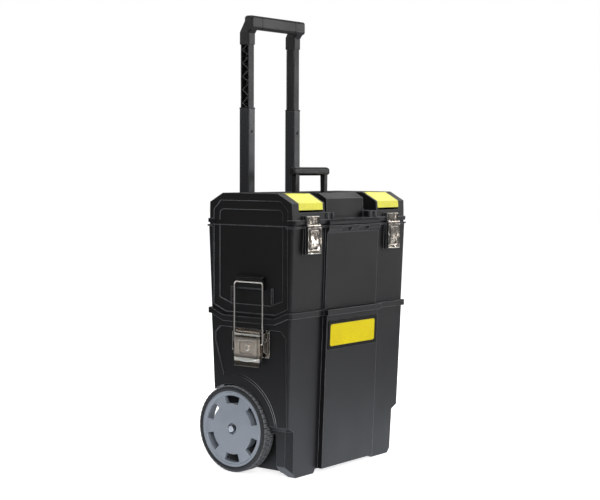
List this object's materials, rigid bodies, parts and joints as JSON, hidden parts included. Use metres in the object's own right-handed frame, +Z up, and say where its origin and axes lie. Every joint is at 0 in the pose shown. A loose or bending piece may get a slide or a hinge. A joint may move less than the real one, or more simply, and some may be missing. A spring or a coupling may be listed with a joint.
{
  "type": "rolling tool box",
  "caption": "Wheeled lower bin carrying a lift-off tool box with hinged lid, side and front latches, lid organisers, fold-down carry handle and telescopic pull handle.",
  "frame": {"origin": "middle of the footprint, on the floor", "axes": "+Z up, +Y towards the back where the telescopic handle and wheels are, +X to the right of someone facing the front"},
  "size_m": [0.5024, 0.3075, 1.11],
  "materials": {
    "black_pp": "textured polypropylene",
    "lid_pp": "textured polypropylene",
    "label_black": "satin",
    "label_yellow": "satin",
    "yellow_pp": "semi-gloss",
    "steel": "zinc plated",
    "nickel": "nickel plated",
    "tube_black": "black anodised",
    "tube_inner": "glass-filled nylon",
    "handle_black": "fine texture",
    "hub_grey": "satin",
    "tyre_rubber": "moulded tread",
    "tray_grey": "fine texture"
  },
  "bodies": {
    "bin": {"lower_bin": "black_pp", "label_frame": "label_black", "label_plate": "label_yellow", "axle": "steel", "axle_caps": "steel", "guide_left": "handle_black", "guide_right": "handle_black", "guide_screws": "steel", "latch_base_left": "nickel", "latch_base_right": "nickel", "latch_pin_left": "nickel", "latch_pin_right": "nickel", "latch_rivets": "nickel"},
    "wheel_left": {"tyre_left": "tyre_rubber", "hub_left": "hub_grey"},
    "wheel_right": {"tyre_right": "tyre_rubber", "hub_right": "hub_grey"},
    "handle_middle": {"middle_tubes": "tube_black", "tube_collars": "handle_black", "tube_bridge": "handle_black"},
    "handle_inner": {"inner_tube_left": "tube_inner", "inner_tube_right": "tube_inner", "grip": "handle_black"},
    "button_upper_left": {"upper_button_left": "steel"},
    "button_upper_right": {"upper_button_right": "steel"},
    "button_lower_left": {"lower_button_left": "steel"},
    "button_lower_right": {"lower_button_right": "steel"},
    "lever_left": {"latch_lever_left": "nickel"},
    "lever_right": {"latch_lever_right": "nickel"},
    "wire_left": {"bail_left": "nickel"},
    "wire_right": {"bail_right": "nickel"},
    "box": {"upper_box": "black_pp", "hinge_pins": "steel", "catch_left": "handle_black", "catch_right": "handle_black", "hasp_strikes": "nickel"},
    "lid_body": {"lid": "lid_pp", "carry_pins": "steel", "hasp_plates": "nickel", "hasp_pins": "nickel"},
    "cover_left_body": {"cover_left": "yellow_pp"},
    "cover_right_body": {"cover_right": "yellow_pp"},
    "carry_body": {"carry_handle": "handle_black"},
    "hasp_left_body": {"hasp_left": "nickel"},
    "hasp_right_body": {"hasp_right": "nickel"},
    "tray_body": {"tray": "tray_grey", "tray_grip": "handle_black"}
  },
  "joints": [
    {"name": "left_wheel_spin", "type": "hinge", "parent": "bin", "child": "wheel_left", "pos_m": [-0.217, 0.046, 0.105], "axis": [1, 0, 0], "continuous": true},
    {"name": "right_wheel_spin", "type": "hinge", "parent": "bin", "child": "wheel_right", "pos_m": [0.217, 0.046, 0.105], "axis": [1, 0, 0], "continuous": true},
    {"name": "middle_tubes_slide", "type": "slide", "parent": "bin", "child": "handle_middle", "axis": [0, 0, 1], "range_m": [-0.264, 0]},
    {"name": "inner_tubes_slide", "type": "slide", "parent": "handle_middle", "child": "handle_inner", "axis": [0, 0, 1], "range_m": [-0.1556, 0]},
    {"name": "upper_button_left_press", "type": "slide", "parent": "handle_inner", "child": "button_upper_left", "axis": [0, 1, 0], "range_m": [0, 0.004], "stiffness_N_per_m": 400, "springref_m": -0.003},
    {"name": "lower_button_left_press", "type": "slide", "parent": "handle_middle", "child": "button_lower_left", "axis": [0, -1, 0], "range_m": [0, 0.004], "stiffness_N_per_m": 400, "springref_m": -0.003},
    {"name": "upper_button_right_press", "type": "slide", "parent": "handle_inner", "child": "button_upper_right", "axis": [0, 1, 0], "range_m": [0, 0.004], "stiffness_N_per_m": 400, "springref_m": -0.003},
    {"name": "lower_button_right_press", "type": "slide", "parent": "handle_middle", "child": "button_lower_right", "axis": [0, -1, 0], "range_m": [0, 0.004], "stiffness_N_per_m": 400, "springref_m": -0.003},
    {"name": "left_latch_lever_turn", "type": "hinge", "parent": "bin", "child": "lever_left", "pos_m": [-0.23797, -0.012, 0.345], "axis": [0, 1, 0], "range_deg": [0, 150]},
    {"name": "left_bail_turn", "type": "hinge", "parent": "lever_left", "child": "wire_left", "pos_m": [-0.23997, -0.012, 0.318], "axis": [0, 1, 0], "range_deg": [-150, 0]},
    {"name": "right_latch_lever_turn", "type": "hinge", "parent": "bin", "child": "lever_right", "pos_m": [0.23797, -0.012, 0.345], "axis": [0, -1, 0], "range_deg": [0, 150]},
    {"name": "right_bail_turn", "type": "hinge", "parent": "lever_right", "child": "wire_right", "pos_m": [0.23997, -0.012, 0.318], "axis": [0, -1, 0], "range_deg": [-150, 0]},
    {"name": "upper_box_lift", "type": "slide", "parent": "bin", "child": "box", "axis": [0, 0, 1], "range_m": [0, 0.15]},
    {"name": "lid_turn", "type": "hinge", "parent": "box", "child": "lid_body", "pos_m": [0, 0.128, 0.5995], "axis": [-1, 0, 0], "range_deg": [0, 21.5]},
    {"name": "left_cover_turn", "type": "hinge", "parent": "lid_body", "child": "cover_left_body", "pos_m": [-0.159, -0.0418, 0.6701], "axis": [-1, 0, 0], "range_deg": [0, 100]},
    {"name": "right_cover_turn", "type": "hinge", "parent": "lid_body", "child": "cover_right_body", "pos_m": [0.159, -0.0418, 0.6701], "axis": [-1, 0, 0], "range_deg": [0, 100]},
    {"name": "carry_handle_turn", "type": "hinge", "parent": "lid_body", "child": "carry_body", "pos_m": [0, -0.008, 0.6639], "axis": [1, 0, 0], "range_deg": [0, 90]},
    {"name": "left_hasp_turn", "type": "hinge", "parent": "lid_body", "child": "hasp_left_body", "pos_m": [-0.1645, -0.1492, 0.599], "axis": [-1, 0, 0], "range_deg": [0, 120]},
    {"name": "right_hasp_turn", "type": "hinge", "parent": "lid_body", "child": "hasp_right_body", "pos_m": [0.1645, -0.1492, 0.599], "axis": [-1, 0, 0], "range_deg": [0, 120]},
    {"name": "tray_lift", "type": "slide", "parent": "box", "child": "tray_body", "axis": [0, 0, 1], "range_m": [0, 0.028]}
  ],
  "couplings": [
    {"joint": "left_bail_turn", "follows": "left_latch_lever_turn", "ratio": -1},
    {"joint": "right_bail_turn", "follows": "right_latch_lever_turn", "ratio": -1}
  ]
}
